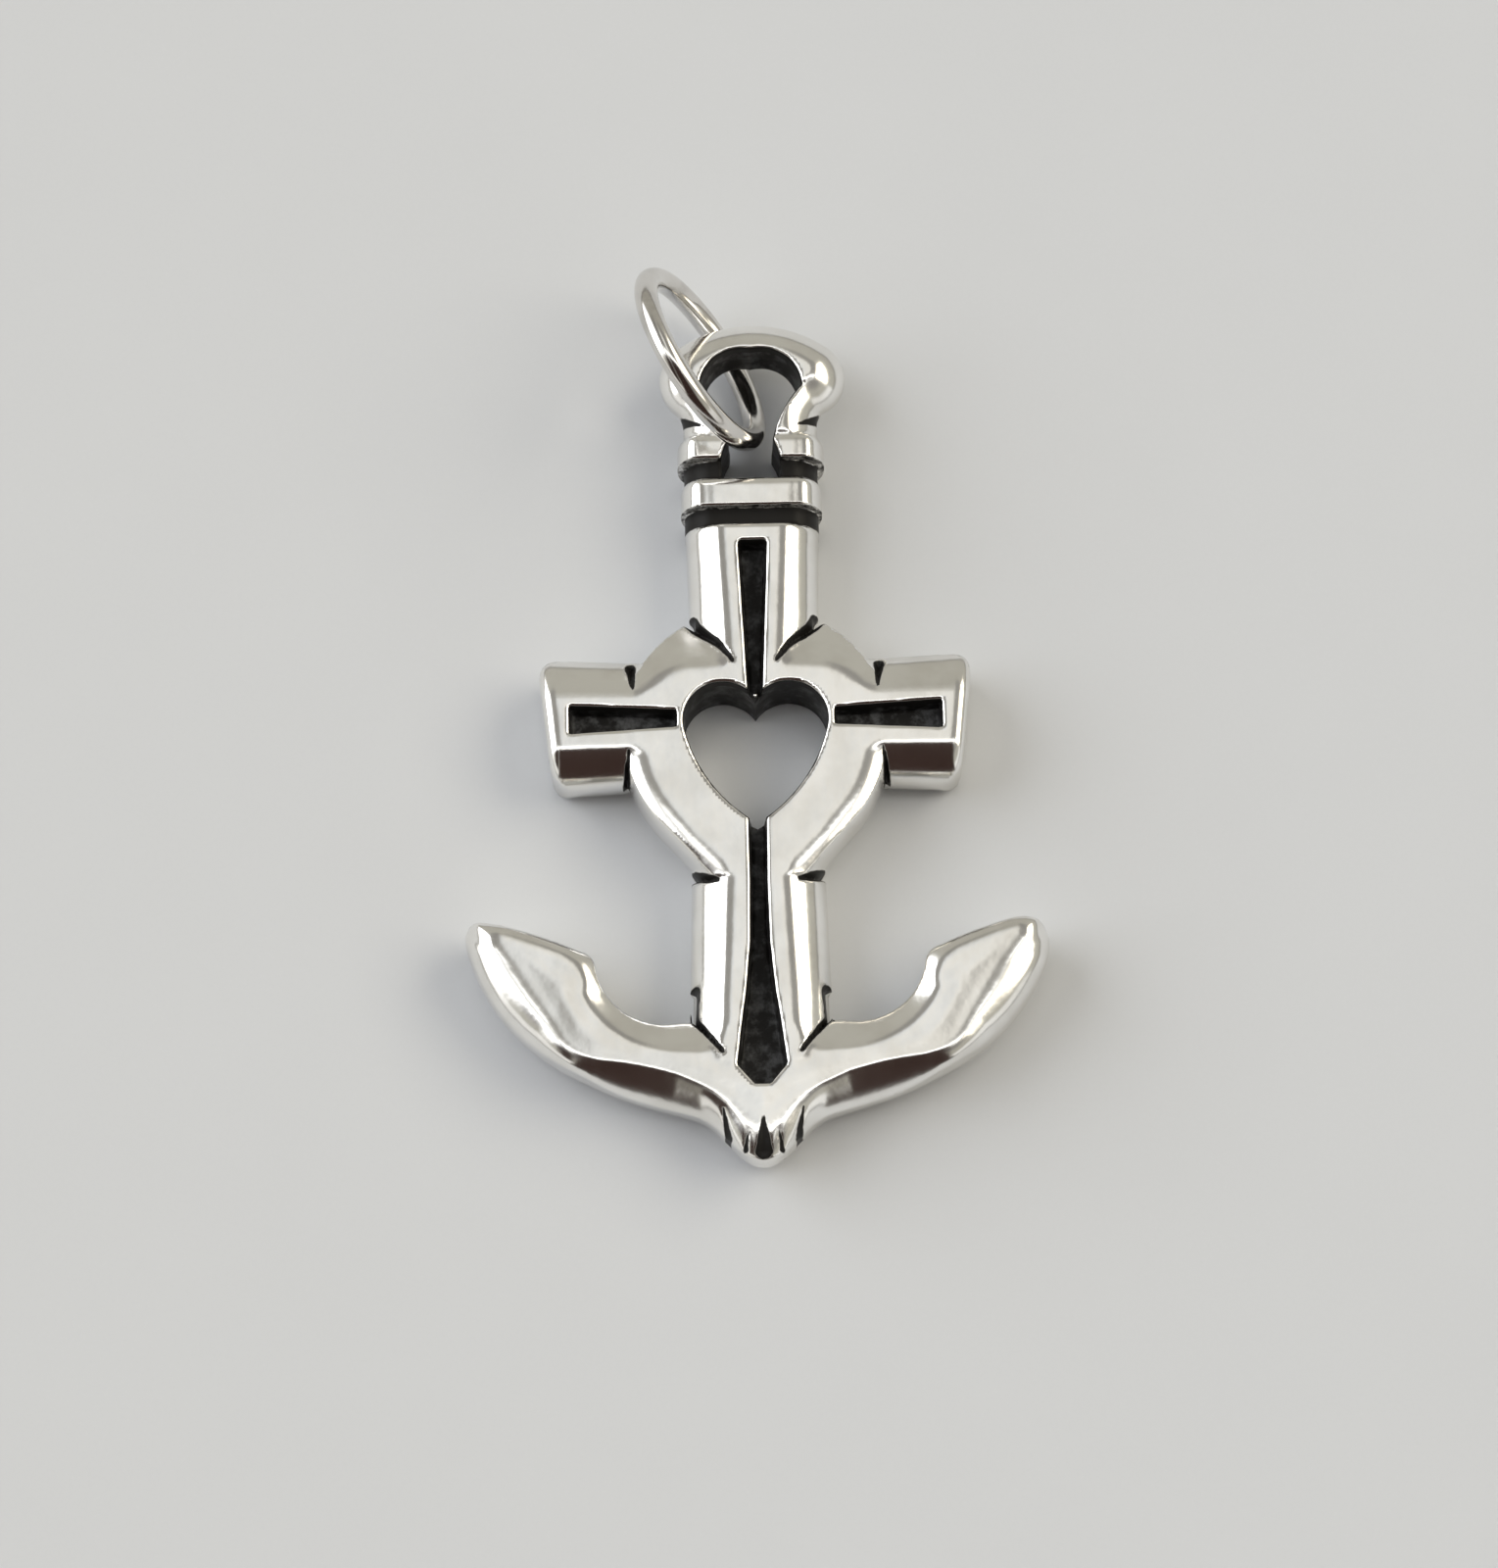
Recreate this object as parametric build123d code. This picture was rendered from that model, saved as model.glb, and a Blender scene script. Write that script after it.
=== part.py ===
from build123d import *
from math import cos, radians, sin, sqrt
import os

# Anchor pendant with a heart in its middle, cast in silver, and the jump ring that it hangs from.
# Millimetres. +Y runs from the crown to the loop, +Z from the flat back to the polished face.
# It is drawn about the middle of the heart ring, on the back. At the end both pieces are moved
# together, so that the origin lies under the middle of the whole object.

# Thickness and edges of the casting
thickness = 2.7          # flat back to flat face
shoulder = 1.1           # rounding from the face to the sides of shank and cross arms
ring_shoulder = 0.9      # the same on the heart ring
arm_shoulder = 0.8       # the same on the arms and flukes
arm_shoulder_most = 0.081  # its largest share of fluke_reach
neck_shoulder = 0.8      # the same on the collars and the neck of the loop
belly = 0.6              # rounding from the sides to the back
end_round = 0.33         # rounding at the ends of the cross arms
lip_round = 0.16         # rounding at the ends of the collars and of the shank
tip_round = 0.32         # rounding of the fluke tips and their inner corners
crown_round = 0.18       # rounding of the pointed crown

# Heart ring and its heart
ring_radius = 4.7
heart_half_width = 2.42
heart_lobes = 1.8        # datum to the top of the lobes
heart_cleft = 1.2        # datum to the cleft between them
heart_point = 3.15       # datum down to the point

# Cross arms
cross_reach = 7.35       # axis to the end of a cross arm
cross_height = 0.55      # middle line of the cross arms above the datum
cross_half_outer = 2.24
cross_half_inner = 2.02

# Shank above and below the heart ring
upper_shank = 7.5        # datum to the first collar groove
upper_half_top = 2.03
upper_half_foot = 2.24
lower_half_top = 2.15
lower_half_foot = 2.42

# Collars and the dark grooves below them
groove_length = 0.62
groove_depth = 0.34
lower_collar = 1.1       # length along the shank
lower_collar_half = 2.34
upper_collar = 0.95
upper_collar_half = 2.55

# Jump ring
wire = 0.8               # wire diameter
ring_outer = 7.2         # outer diameter
ring_heading = -66.0     # degrees; level direction of the ring's plane, from +X
ring_tilt = 25.2         # degrees; how far the ring leans over from upright
ring_aside = 0.5         # the ring's lowest point, to the left of the loop's middle
ring_inside = 0.06       # the same, short of the top of the hole
wire_gap = 0.25          # space between the wire and the loop's underside

# Loop on its neck
neck_length = 2.16       # top collar to the middle of the loop
neck_half = 2.3
loop_half_width = 3.15
loop_half_height = 2.1
loop_lean = 0.1          # the loop stands this far to the right of the axis
loop_belly = 0.45        # rounding from the sides to the underside
loop_band = 1.21         # width of the band at the top of the loop
loop_band_side = 1.35    # width of the band at its widest place
hole_dome = 1.14         # height of the domed end of the hole
hole_waist = 3.3         # top of the hole down to its narrowest place
hole_waist_half = 0.7
hole_draft = 8.0         # degrees; the hole narrows towards the back
slot_half = 0.88         # half width of the slot that splits the upper collar

# Arms, flukes and crown
crown_drop = 14.75       # datum down to the tip of the crown
fluke_reach = 9.9        # axis to a fluke tip
fluke_rise = 8.23        # crown tip up to the fluke tips
crown_slope = 0.46       # slant of the keel at the tip, in shares of reach and rise

# Wedges and creases engraved in the face
engraving = 0.85         # depth of the wedges
engraving_round = 0.1    # rounding of their corners in plan
cleft_gap = 0.1          # metal left between the upper wedge and the heart
bridge = 0.2             # metal left between a side wedge and the heart
wedge_margin = 1.08      # metal left beyond a side wedge at the end of the cross arm
wedge_rim = 0.65         # metal left above the upper wedge
wedge_half_wide = 0.49
wedge_half_narrow = 0.23
side_half_narrow = 0.29
lower_half_narrow = 0.31
lower_half_wide = 0.76
keel = 2.65              # crown tip up to the point of the lower wedge
wedge_point = 0.7        # length of that point
crease = 0.17            # radius of a crease at the edge of the casting

# Half outline of the arms, as shares of fluke_reach and fluke_rise from the crown tip
arm_outline = {
    "hollow_low": (0.278, 0.589),
    "hollow_side": (0.483, 0.674),
    "inner_corner": (0.584, 0.891),
    "fluke_edge": (0.747, 0.961),
    "fluke_tip": (1.0, 1.0),
    "outer_side": (0.904, 0.687),
    "outer_low": (0.682, 0.431),
    "bend": (0.591, 0.385),
    "keel_start": (0.263, 0.252),
    "keel_middle": (0.131, 0.152),
    "crown": (0.0, 0.0),
}

# Half outline of the heart: shares of its half width, and of the lobes (above 0) or the point
heart_outline = {"lobe": (0.475, 1.0), "side": (1.0, 0.14), "flank": (0.67, -0.515)}

# Creases between members: where each starts and ends, as shares of the corner where the shank
# or a cross arm leaves the heart ring, or the lower shank leaves the arms
crease_ends = {
    "upper": ((1.0, 1.0), (0.31, 0.64)),
    "lower": ((1.0, 1.0), (0.43, 1.17)),
    "cross": ((1.0, 1.0), (0.94, 0.69)),
    "arm": ((1.0, 1.0), (0.5, 1.11)),
}

os.makedirs("parts", exist_ok=True)

# Heights that follow from the lengths above
first_collar = upper_shank + groove_length
second_collar = first_collar + lower_collar + groove_length
neck_foot = second_collar + upper_collar
loop_middle = neck_foot + neck_length
loop_under = wire + wire_gap
hole_top = loop_middle + loop_half_height - loop_band
slot_foot = first_collar + lower_collar


def on_arm(name):
    """A point of the arm's outline, in millimetres."""
    share_x, share_y = arm_outline[name]
    return (share_x * fluke_reach, share_y * fluke_rise - crown_drop)


def both_sides(body):
    """A body and its mirror image on the other side of the axis."""
    return body + mirror(body, Plane.YZ)


def level_edges(body, level):
    """Level edges of a plate at one height: 0 gives the lowest and -1 the highest."""
    flat = body.edges().filter_by(lambda edge: edge.bounding_box().size.Z < 1e-5)
    return flat.group_by(Axis.Z)[level]


def round_sides(body, upper, lower):
    """Round the edges of a plate that aren't square to the axis, at its face and at its back."""
    for level, size in ((-1, upper), (0, lower)):
        sides = level_edges(body, level).filter_by(lambda edge: abs(edge.center().X) > 1e-3)
        body = fillet(sides, size)
    return body


def bar(foot, top, half_foot, half_top, upper, lower, low=0.0, high=thickness):
    """A bar along Y with rounded long edges. Its width may change from foot to top."""
    corners = [(-half_foot, foot), (half_foot, foot), (half_top, top), (-half_top, top)]
    body = extrude(Pos(0, 0, low) * make_face(Polyline(*corners, close=True)), high - low)
    return round_sides(body, min(upper, 0.8 * half_top, 0.8 * half_foot), lower)


def round_end(body, size, index=-1):
    """Round the edges of a bar's end face: index -1 is its top and 0 its foot."""
    return fillet(body.faces().sort_by(Axis.Y)[index].edges(), size)


def heart_ring():
    """The round boss in the middle, still without its heart."""
    disc = Pos(0, 0, thickness / 2) * Cylinder(ring_radius, thickness)
    disc = fillet(level_edges(disc, -1), ring_shoulder)
    return fillet(level_edges(disc, 0), belly)


def heart():
    """The heart, as a cutter that runs through both faces."""
    def at(name):
        share_x, share_y = heart_outline[name]
        return (share_x * heart_half_width, share_y * (heart_lobes if share_y > 0 else heart_point))
    lobe = ThreePointArc((0, heart_cleft), at("lobe"), at("side"))
    flank = ThreePointArc(at("side"), at("flank"), (0, -heart_point))
    half = Curve() + [lobe, flank]
    outline = make_face(half + mirror(half, Plane.YZ))
    return extrude(Pos(0, 0, -thickness) * outline, 3 * thickness)


def cross_arms():
    """The two cross arms, which flare towards their rounded ends."""
    arm = bar(ring_radius / 2, cross_reach, cross_half_inner, cross_half_outer, shoulder, belly)
    arm = Pos(0, cross_height, 0) * Rot(0, 0, -90) * round_end(arm, end_round)
    return both_sides(arm)


def shank():
    """The shank above and below the heart ring."""
    upper = bar(ring_radius / 2, upper_shank, upper_half_foot, upper_half_top, shoulder, belly)
    foot = (on_arm("hollow_low")[1] + on_arm("keel_start")[1]) / 2
    lower = bar(foot, -ring_radius / 2, lower_half_foot, lower_half_top, shoulder, belly)
    return round_end(upper, lip_round) + lower


def collars():
    """Two bands round the top of the shank, on a narrower core that shows in the grooves."""
    core_half = upper_half_top - groove_depth
    core = bar(upper_shank - 2 * lip_round, second_collar + 2 * lip_round, core_half, core_half,
               neck_shoulder, belly, high=thickness - groove_depth)
    for foot, length, half in ((first_collar, lower_collar, lower_collar_half),
                               (second_collar, upper_collar, upper_collar_half)):
        band = bar(foot, foot + length, half, half, neck_shoulder, belly)
        core += round_end(round_end(band, lip_round), lip_round, 0)
    return core


def corner_edge(body, x, y):
    """The upright edge of a plate at one corner of its outline."""
    upright = body.edges().filter_by(Axis.Z)
    return upright.sort_by(lambda edge: (edge.center().X - x) ** 2 + (edge.center().Y - y) ** 2)[0]


def arms():
    """Both arms with their flukes and the pointed crown, in one plate."""
    outer = ThreePointArc(on_arm("fluke_tip"), on_arm("outer_side"), on_arm("outer_low"))
    keel_line = [on_arm(name) for name in ("outer_low", "bend", "keel_start", "keel_middle", "crown")]
    keel_end = Vector(-crown_slope * fluke_reach, -fluke_rise)
    half = Curve() + [
        Line((0, on_arm("hollow_low")[1]), on_arm("hollow_low")),
        ThreePointArc(on_arm("hollow_low"), on_arm("hollow_side"), on_arm("inner_corner")),
        ThreePointArc(on_arm("inner_corner"), on_arm("fluke_edge"), on_arm("fluke_tip")),
        outer,
        Spline(*keel_line, tangents=(outer % 1, keel_end.normalized())),
    ]
    body = extrude(make_face(half + mirror(half, Plane.YZ)), thickness)
    body = round_sides(body, min(arm_shoulder, arm_shoulder_most * fluke_reach), belly)
    corners = [corner_edge(body, side * on_arm(name)[0], on_arm(name)[1])
               for name in ("fluke_tip", "inner_corner") for side in (1, -1)]
    body = fillet(corners, tip_round)
    return fillet(corner_edge(body, *on_arm("crown")), crown_round)


def loop():
    """The thick loop on its neck, still without its hole."""
    outline = Pos(loop_lean, loop_middle, loop_under) * Ellipse(loop_half_width, loop_half_height)
    body = extrude(outline, thickness - loop_under)
    body = fillet(level_edges(body, -1), min(shoulder, 0.9 * loop_band))
    body = fillet(level_edges(body, 0), loop_belly)
    return body + bar(neck_foot - 2 * lip_round, loop_middle, neck_half, neck_half,
                      neck_shoulder, loop_belly, low=loop_under)


def loop_hole():
    """The loop's hole, a dome that narrows down to the slot between the legs, as a cutter."""
    half = loop_half_width - loop_band_side
    waist = hole_top - hole_waist
    slot_top = waist - 3 * (slot_half - hole_waist_half)
    dome_foot = hole_top - hole_dome
    dome = EllipticalCenterArc((0, dome_foot), half, hole_dome, arc_size=180)
    side = [(half, dome_foot), (hole_waist_half, waist), (slot_half, slot_top), (slot_half, slot_foot)]
    legs = Polyline(*[(-x, y) for x, y in side], *reversed(side))
    outline = make_face(Curve() + [dome, legs])
    return (extrude(Pos(0, 0, thickness) * outline, -thickness, taper=hole_draft)
            + extrude(Pos(0, 0, thickness) * outline, thickness))


def wedge(*corners):
    """A pocket engraved in the face, from the corners of its outline."""
    outline = make_face(Polyline(*corners, close=True))
    outline = fillet(outline.vertices(), engraving_round)
    return extrude(Pos(0, 0, thickness - engraving) * outline, 2 * engraving)


def engraved_wedges():
    """The four wedges that point at the heart."""
    foot, top = heart_cleft + cleft_gap, upper_shank - wedge_rim
    upper = wedge((-wedge_half_narrow, foot), (wedge_half_narrow, foot),
                  (wedge_half_wide, top), (-wedge_half_wide, top))
    inner, outer = heart_half_width + bridge, cross_reach - wedge_margin
    side = wedge((inner, -side_half_narrow), (outer, -wedge_half_wide),
                 (outer, wedge_half_wide), (inner, side_half_narrow))
    point = keel - crown_drop
    waist = (point - heart_point) / 2
    right = [(0, point), (lower_half_wide, point + wedge_point), (lower_half_narrow, waist),
             (lower_half_narrow, -heart_point * 0.85)]
    lower = wedge(*right, *[(-x, y) for x, y in reversed(right[1:])])
    return [upper, lower, both_sides(Pos(0, cross_height, 0) * side)]


def creases():
    """Tapered creases that run in from the corners between the members, as cutters."""
    reach = sqrt(ring_radius ** 2 - cross_half_inner ** 2)
    corners = {
        "upper": (upper_half_foot, sqrt(ring_radius ** 2 - upper_half_foot ** 2)),
        "lower": (lower_half_top, -sqrt(ring_radius ** 2 - lower_half_top ** 2)),
        "cross": (reach, cross_half_inner + cross_height),
        "arm": (lower_half_foot, on_arm("hollow_low")[1]),
    }
    cutters = []
    for name, (start, end) in crease_ends.items():
        x, y = corners[name]
        outside = Vector(x * start[0], y * start[1], thickness - shoulder)
        inside = Vector(x * end[0], y * end[1], thickness + crease / 2)
        line = inside - outside
        cone = Plane(origin=outside, z_dir=line) * Cone(
            crease, crease / 4, line.length, align=(Align.CENTER, Align.CENTER, Align.MIN))
        cutters.append(both_sides(cone))
    return cutters


def anchor():
    """The whole casting, in one solid."""
    body = heart_ring() + cross_arms() + shank() + arms() + collars() + loop()
    for cutter in [heart(), loop_hole(), *engraved_wedges(), *creases()]:
        body -= cutter
    return body


def jump_ring():
    """The closed ring of round wire, which stands in the loop and leans to the left."""
    radius = (ring_outer - wire) / 2
    along = Vector(cos(radians(ring_heading)), sin(radians(ring_heading)), 0)
    across = Vector(-along.Y, along.X, 0)
    rise = Vector(0, 0, cos(radians(ring_tilt))) - across * sin(radians(ring_tilt))
    low_point = Vector(loop_lean - ring_aside, hole_top - ring_inside, wire / 2)
    place = Plane(origin=low_point + rise * radius, x_dir=along, z_dir=along.cross(rise))
    return place * Torus(radius, wire / 2)


pieces = {"anchor": anchor(), "jump_ring": jump_ring()}
box = Compound(children=[piece.solid() for piece in pieces.values()]).bounding_box()
to_origin = Pos(-box.center().X, -box.center().Y, -box.min.Z)
for name, piece in pieces.items():
    export_step(to_origin * piece, f"parts/{name}.step")
    print(name, "solids", len(piece.solids()), "volume", round(piece.volume, 2), "valid", piece.is_valid)
print("clearance", round(pieces["anchor"].distance_to(pieces["jump_ring"]), 3),
      "moved by", to_origin.position)
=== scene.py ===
"""Anchor pendant of cast silver, with the jump ring that it hangs from, lying on a pale sheet.

The casting is worked out as a solid: every member is a bar or an outline whose edges roll over
from the polished face to the flat back, and the heart, the loop's hole and the engraved wedges
are cut out of it. A quad mesh is then cast from that solid. Lengths in the classes are
millimetres, as a jeweller gives them, and meshes are made in metres.
"""
import logging
import math
from dataclasses import dataclass
from enum import Enum
from typing import Callable

import bpy
import numpy as np
from mathutils import Matrix, Vector


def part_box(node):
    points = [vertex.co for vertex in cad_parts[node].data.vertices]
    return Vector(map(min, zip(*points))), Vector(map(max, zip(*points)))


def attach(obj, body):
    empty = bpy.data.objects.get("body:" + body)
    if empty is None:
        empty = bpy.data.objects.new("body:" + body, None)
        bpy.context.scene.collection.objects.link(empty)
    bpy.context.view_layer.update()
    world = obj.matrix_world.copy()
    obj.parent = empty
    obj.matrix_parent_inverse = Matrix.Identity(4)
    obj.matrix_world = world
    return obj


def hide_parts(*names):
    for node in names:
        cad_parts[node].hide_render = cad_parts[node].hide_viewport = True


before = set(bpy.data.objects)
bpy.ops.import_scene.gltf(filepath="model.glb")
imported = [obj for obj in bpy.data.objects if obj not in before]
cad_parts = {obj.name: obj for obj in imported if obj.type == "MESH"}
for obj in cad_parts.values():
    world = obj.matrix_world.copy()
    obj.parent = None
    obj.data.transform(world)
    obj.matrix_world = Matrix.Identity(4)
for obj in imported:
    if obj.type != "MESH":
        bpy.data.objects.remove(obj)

MM = 0.001
PHOTO_HEIGHT = 1600
BODY = "root"
PATINA_AND_SHADE_ROOM = "patina_and_shade_room"
# Keeps a division by a vanishing length finite
TINY = 1e-9
# Settles which of two equally near stretches a place belongs to
TIE = 1e-6
# Keeps the depth under a roll finite where its slope vanishes
LEAST_SLOPE = 1e-4

Array = np.ndarray
Point = tuple[float, float]
Colour = tuple[float, float, float]
Field = Callable[[Array, Array, Array], Array]

log = logging.getLogger("anchor_pendant")


class Slot(Enum):
    """Names of the two silver finishes."""

    CAST = "cast_silver"
    WIRE = "wire_silver"


def softer_least(first: Array, second: Array, reach: Array | float) -> Array:
    """The smaller of two fields, rounded over where they come within reach of each other.

    Args:
        first: One field.
        second: The other field.
        reach: How far from the crossing the rounding starts.

    Returns:
        The rounded minimum.
    """
    overlap = np.maximum(reach - np.abs(first - second), 0.0) / reach
    return np.minimum(first, second) - overlap * overlap * reach / 4


def softer_most(first: Array, second: Array, reach: float) -> Array:
    """The larger of two fields, with a small cove where they meet.

    Args:
        first: One field.
        second: The other field.
        reach: How far from the crossing the cove starts.

    Returns:
        The rounded maximum.
    """
    return -softer_least(-first, -second, reach)


def eased(value: Array, start: float, end: float) -> Array:
    """Go smoothly from 0 to 1 while a value goes from start to end."""
    share = np.clip((value - start) / (end - start), 0.0, 1.0)
    return share * share * (3 - 2 * share)


@dataclass(frozen=True)
class Stretch:
    """One stretch of a contour: straight, or an arc if it has a place that it passes."""

    start: Point
    end: Point
    by: Point | None = None

    def measure(self, x: Array, y: Array) -> tuple[Array, Array, Array]:
        """Measure places against the stretch.

        Args:
            x: Places across the pendant.
            y: Places along the pendant.

        Returns:
            The distance, the side (positive on the left), and how squarely the place faces
            the stretch, which settles ties at shared corners.
        """
        return self._straight(x, y) if self.by is None else self._arc(x, y)

    def _straight(self, x: Array, y: Array) -> tuple[Array, Array, Array]:
        """Measure places against a straight stretch.

        Args:
            x: Places across the pendant.
            y: Places along the pendant.

        Returns:
            The distance, the side and how squarely the place faces the stretch.
        """
        run_x, run_y = self.end[0] - self.start[0], self.end[1] - self.start[1]
        length = math.hypot(run_x, run_y)
        run_x, run_y = run_x / length, run_y / length
        off_x, off_y = x - self.start[0], y - self.start[1]
        along = np.clip(off_x * run_x + off_y * run_y, 0.0, length)
        reach = np.hypot(off_x - along * run_x, off_y - along * run_y)
        side = run_x * off_y - run_y * off_x
        return reach, np.sign(side), np.abs(side) / np.maximum(reach, TINY)

    def _arc(self, x: Array, y: Array) -> tuple[Array, Array, Array]:
        """Measure places against an arc.

        Args:
            x: Places across the pendant.
            y: Places along the pendant.

        Returns:
            The distance, the side and how squarely the place faces the stretch.
        """
        centre, radius, begin, sweep, turn = self._circle()
        off_x, off_y = x - centre[0], y - centre[1]
        radial = np.hypot(off_x, off_y)
        angle = np.mod(turn * (np.arctan2(off_y, off_x) - begin), 2 * math.pi)
        facing = angle <= sweep
        reach, side, square = np.full(np.shape(radial), np.inf), 1.0, 0.0
        for (end_x, end_y), way in ((self.start, begin), (self.end, begin + turn * sweep)):
            gap = np.hypot(x - end_x, y - end_y)
            cross = turn * (-math.sin(way) * (y - end_y) - math.cos(way) * (x - end_x))
            nearer = gap < reach
            side = np.where(nearer, np.sign(cross), side)
            square = np.where(nearer, np.abs(cross) / np.maximum(gap, TINY), square)
            reach = np.where(nearer, gap, reach)
        return (np.where(facing, np.abs(radial - radius), reach),
                np.where(facing, np.sign(turn * (radius - radial)), side),
                np.where(facing, 1.0, square))

    def _circle(self) -> tuple[Point, float, float, float, float]:
        """Work out the circle that the arc is part of.

        Returns:
            Its centre and radius, the arc's first angle, its sweep, and its turn, which is 1 if
            it is counter-clockwise and otherwise -1.
        """
        (ax, ay), (bx, by), (cx, cy) = self.start, self.by, self.end
        twice = 2 * ((bx - ax) * (cy - ay) - (by - ay) * (cx - ax))
        chord_b = (bx - ax) ** 2 + (by - ay) ** 2
        chord_c = (cx - ax) ** 2 + (cy - ay) ** 2
        centre = (ax + ((cy - ay) * chord_b - (by - ay) * chord_c) / twice,
                  ay + ((bx - ax) * chord_c - (cx - ax) * chord_b) / twice)
        turn = 1.0 if twice > 0 else -1.0
        begin = math.atan2(ay - centre[1], ax - centre[0])
        finish = math.atan2(cy - centre[1], cx - centre[0])
        return (centre, math.hypot(ax - centre[0], ay - centre[1]), begin,
                (turn * (finish - begin)) % (2 * math.pi), turn)


class Contour:
    """A line in plan, walked with the metal on its left, that tells how deep a place lies."""

    def __init__(self, *stretches: Stretch) -> None:
        """Keep the stretches, which follow each other."""
        self.stretches = stretches

    @classmethod
    def path(cls, *places: Point | tuple[Point, Point]) -> "Contour":
        """Make a contour through places.

        Args:
            places: The places in order; a pair of places is an arc by the first to the second.

        Returns:
            The contour.
        """
        stretches, here = [], places[0]
        for place in places[1:]:
            by, end = place if isinstance(place[0], tuple) else (None, place)
            stretches.append(Stretch(here, end, by))
            here = end
        return cls(*stretches)

    @classmethod
    def polygon(cls, corners: list[Point], radius: float) -> "Contour":
        """Make a closed contour with rounded corners.

        Args:
            corners: The corners before rounding, counter-clockwise.
            radius: Radius of the roundings.

        Returns:
            The contour.
        """
        spots = [np.array(corner) for corner in corners]
        rounds = []
        for index, corner in enumerate(spots):
            before, after = spots[index - 1], spots[(index + 1) % len(spots)]
            back = (before - corner) / np.linalg.norm(before - corner)
            ahead = (after - corner) / np.linalg.norm(after - corner)
            half = math.acos(float(np.clip(back @ ahead, -1, 1))) / 2
            trim = radius / math.tan(half)
            middle = (back + ahead) / np.linalg.norm(back + ahead)
            crest = corner + middle * (radius / math.sin(half) - radius)
            rounds.append([tuple(float(v) for v in spot)
                           for spot in (corner + back * trim, crest, corner + ahead * trim)])
        stretches, last = [], rounds[-1][2]
        for begin, crest, end in rounds:
            stretches += [Stretch(last, begin), Stretch(begin, end, crest)]
            last = end
        return cls(*stretches)

    def depth(self, x: Array, y: Array) -> Array:
        """Tell how far inside the contour places lie.

        Args:
            x: Places across the pendant.
            y: Places along the pendant.

        Returns:
            The distance from the contour: negative outside.
        """
        best, signed = np.inf, 0.0
        for stretch in self.stretches:
            reach, side, square = stretch.measure(x, y)
            rank = reach - TIE * square
            nearer = rank < best
            signed = np.where(nearer, side * reach, signed)
            best = np.where(nearer, rank, best)
        return signed


@dataclass(frozen=True)
class Roll:
    """How a member's edge rolls over from a flat.

    The section is a quarter of an ellipse at a fullness of 2, and a bevel between two tight
    turns as the fullness nears 1. It may rise over the flat by its crest, which leaves a crisp
    line where the flat cuts it; the width is measured to that line.
    """

    width: float
    height: float
    crest: float = 0.0
    fullness: float = 2.0

    def depth(self, inside: Array, below: Array, width: Array | None = None,
              steepness: Array | None = None, fullness: Array | None = None) -> Array:
        """Depth under the rolled edge.

        Args:
            inside: Distance in from the member's outline.
            below: Distance under the flat.
            width: Takes the place of the roll's own width where that varies.
            steepness: Holds the roll's height to this many times its width.
            fullness: Takes the place of the roll's own fullness where that varies.

        Returns:
            Depth in the metal: negative outside.
        """
        power = self.fullness if fullness is None else fullness
        tight = power - 1
        reached = 1 - self.crest / self.height
        width = ((self.width if width is None else width)
                 / (1 - (1 - reached ** power) ** (1 / power)))
        height = self.height if steepness is None else np.minimum(self.height, width * steepness)
        out = np.maximum(width - inside, 0.0) / width
        up = np.maximum(height - self.crest - below, 0.0) / height
        round_off = (out ** power + up ** power + TINY) ** (1 / power)
        slope = (((out / round_off) ** tight / width) ** 2
                 + ((up / round_off) ** tight / height) ** 2)
        return (1 - round_off) / np.sqrt(slope + LEAST_SLOPE)


@dataclass(frozen=True)
class Bar:
    """A straight member, which may widen from its foot to its top.

    It runs from foot to top and its half widths and flats go from one end's to the other's. The
    lip rounds its end, the slant leans it and the corner rounds it in plan. The far side, where
    across is positive, may have a roll of its own and stand out further. The edge of the flat is
    worn, and the flat is true again a little way in.
    """

    foot: float
    top: float
    half_foot: float
    half_top: float
    flat_foot: float
    flat_top: float
    shoulder: Roll
    belly: Roll
    lip: float = 0.0
    slant: float = 0.0
    corner: float = 0.0
    far: Roll | None = None
    far_out: float = 0.0
    least_width: float = 0.3
    worn: float = 0.05
    worn_from: float = 0.05
    worn_to: float = 0.3

    def depth(self, along: Array, across: Array, z: Array, face: float, low: float = 0.0) -> Array:
        """Depth in the bar.

        Args:
            along: Places along the bar.
            across: Places across the bar, from its middle line.
            z: Heights.
            face: Height of the bar's flat face.
            low: Height of its underside.

        Returns:
            Depth in the metal: negative outside.
        """
        share = (along - self.foot) / (self.top - self.foot)
        half = self.half_foot + (self.half_top - self.half_foot) * share
        flat = self.flat_foot + (self.flat_top - self.flat_foot) * np.clip(share, 0.0, 1.0)
        inside, width = half - np.abs(across), np.maximum(half - flat, self.least_width)
        edge = self.shoulder.depth(inside, face - z, width)
        if self.far is not None:
            inside = inside + np.where(across > 0, self.far_out, 0.0)
            far = self.far.depth(inside, face - z, width + self.far.width)
            edge = np.where(across > 0, far, edge)
        side = np.minimum(edge, self.belly.depth(inside, z - low))
        crisp = eased(flat - np.abs(across), self.worn_from, self.worn_to)
        depth = softer_least(side, face - z, self.worn * (1 - crisp) + TINY)
        end = self.top - along + self.slant * across
        depth = softer_least(depth, end, self.lip) if self.lip else np.minimum(depth, end)
        if self.corner:
            depth = np.minimum(depth, softer_least(inside, end, self.corner))
        return np.minimum(depth, along - self.foot)


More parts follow.
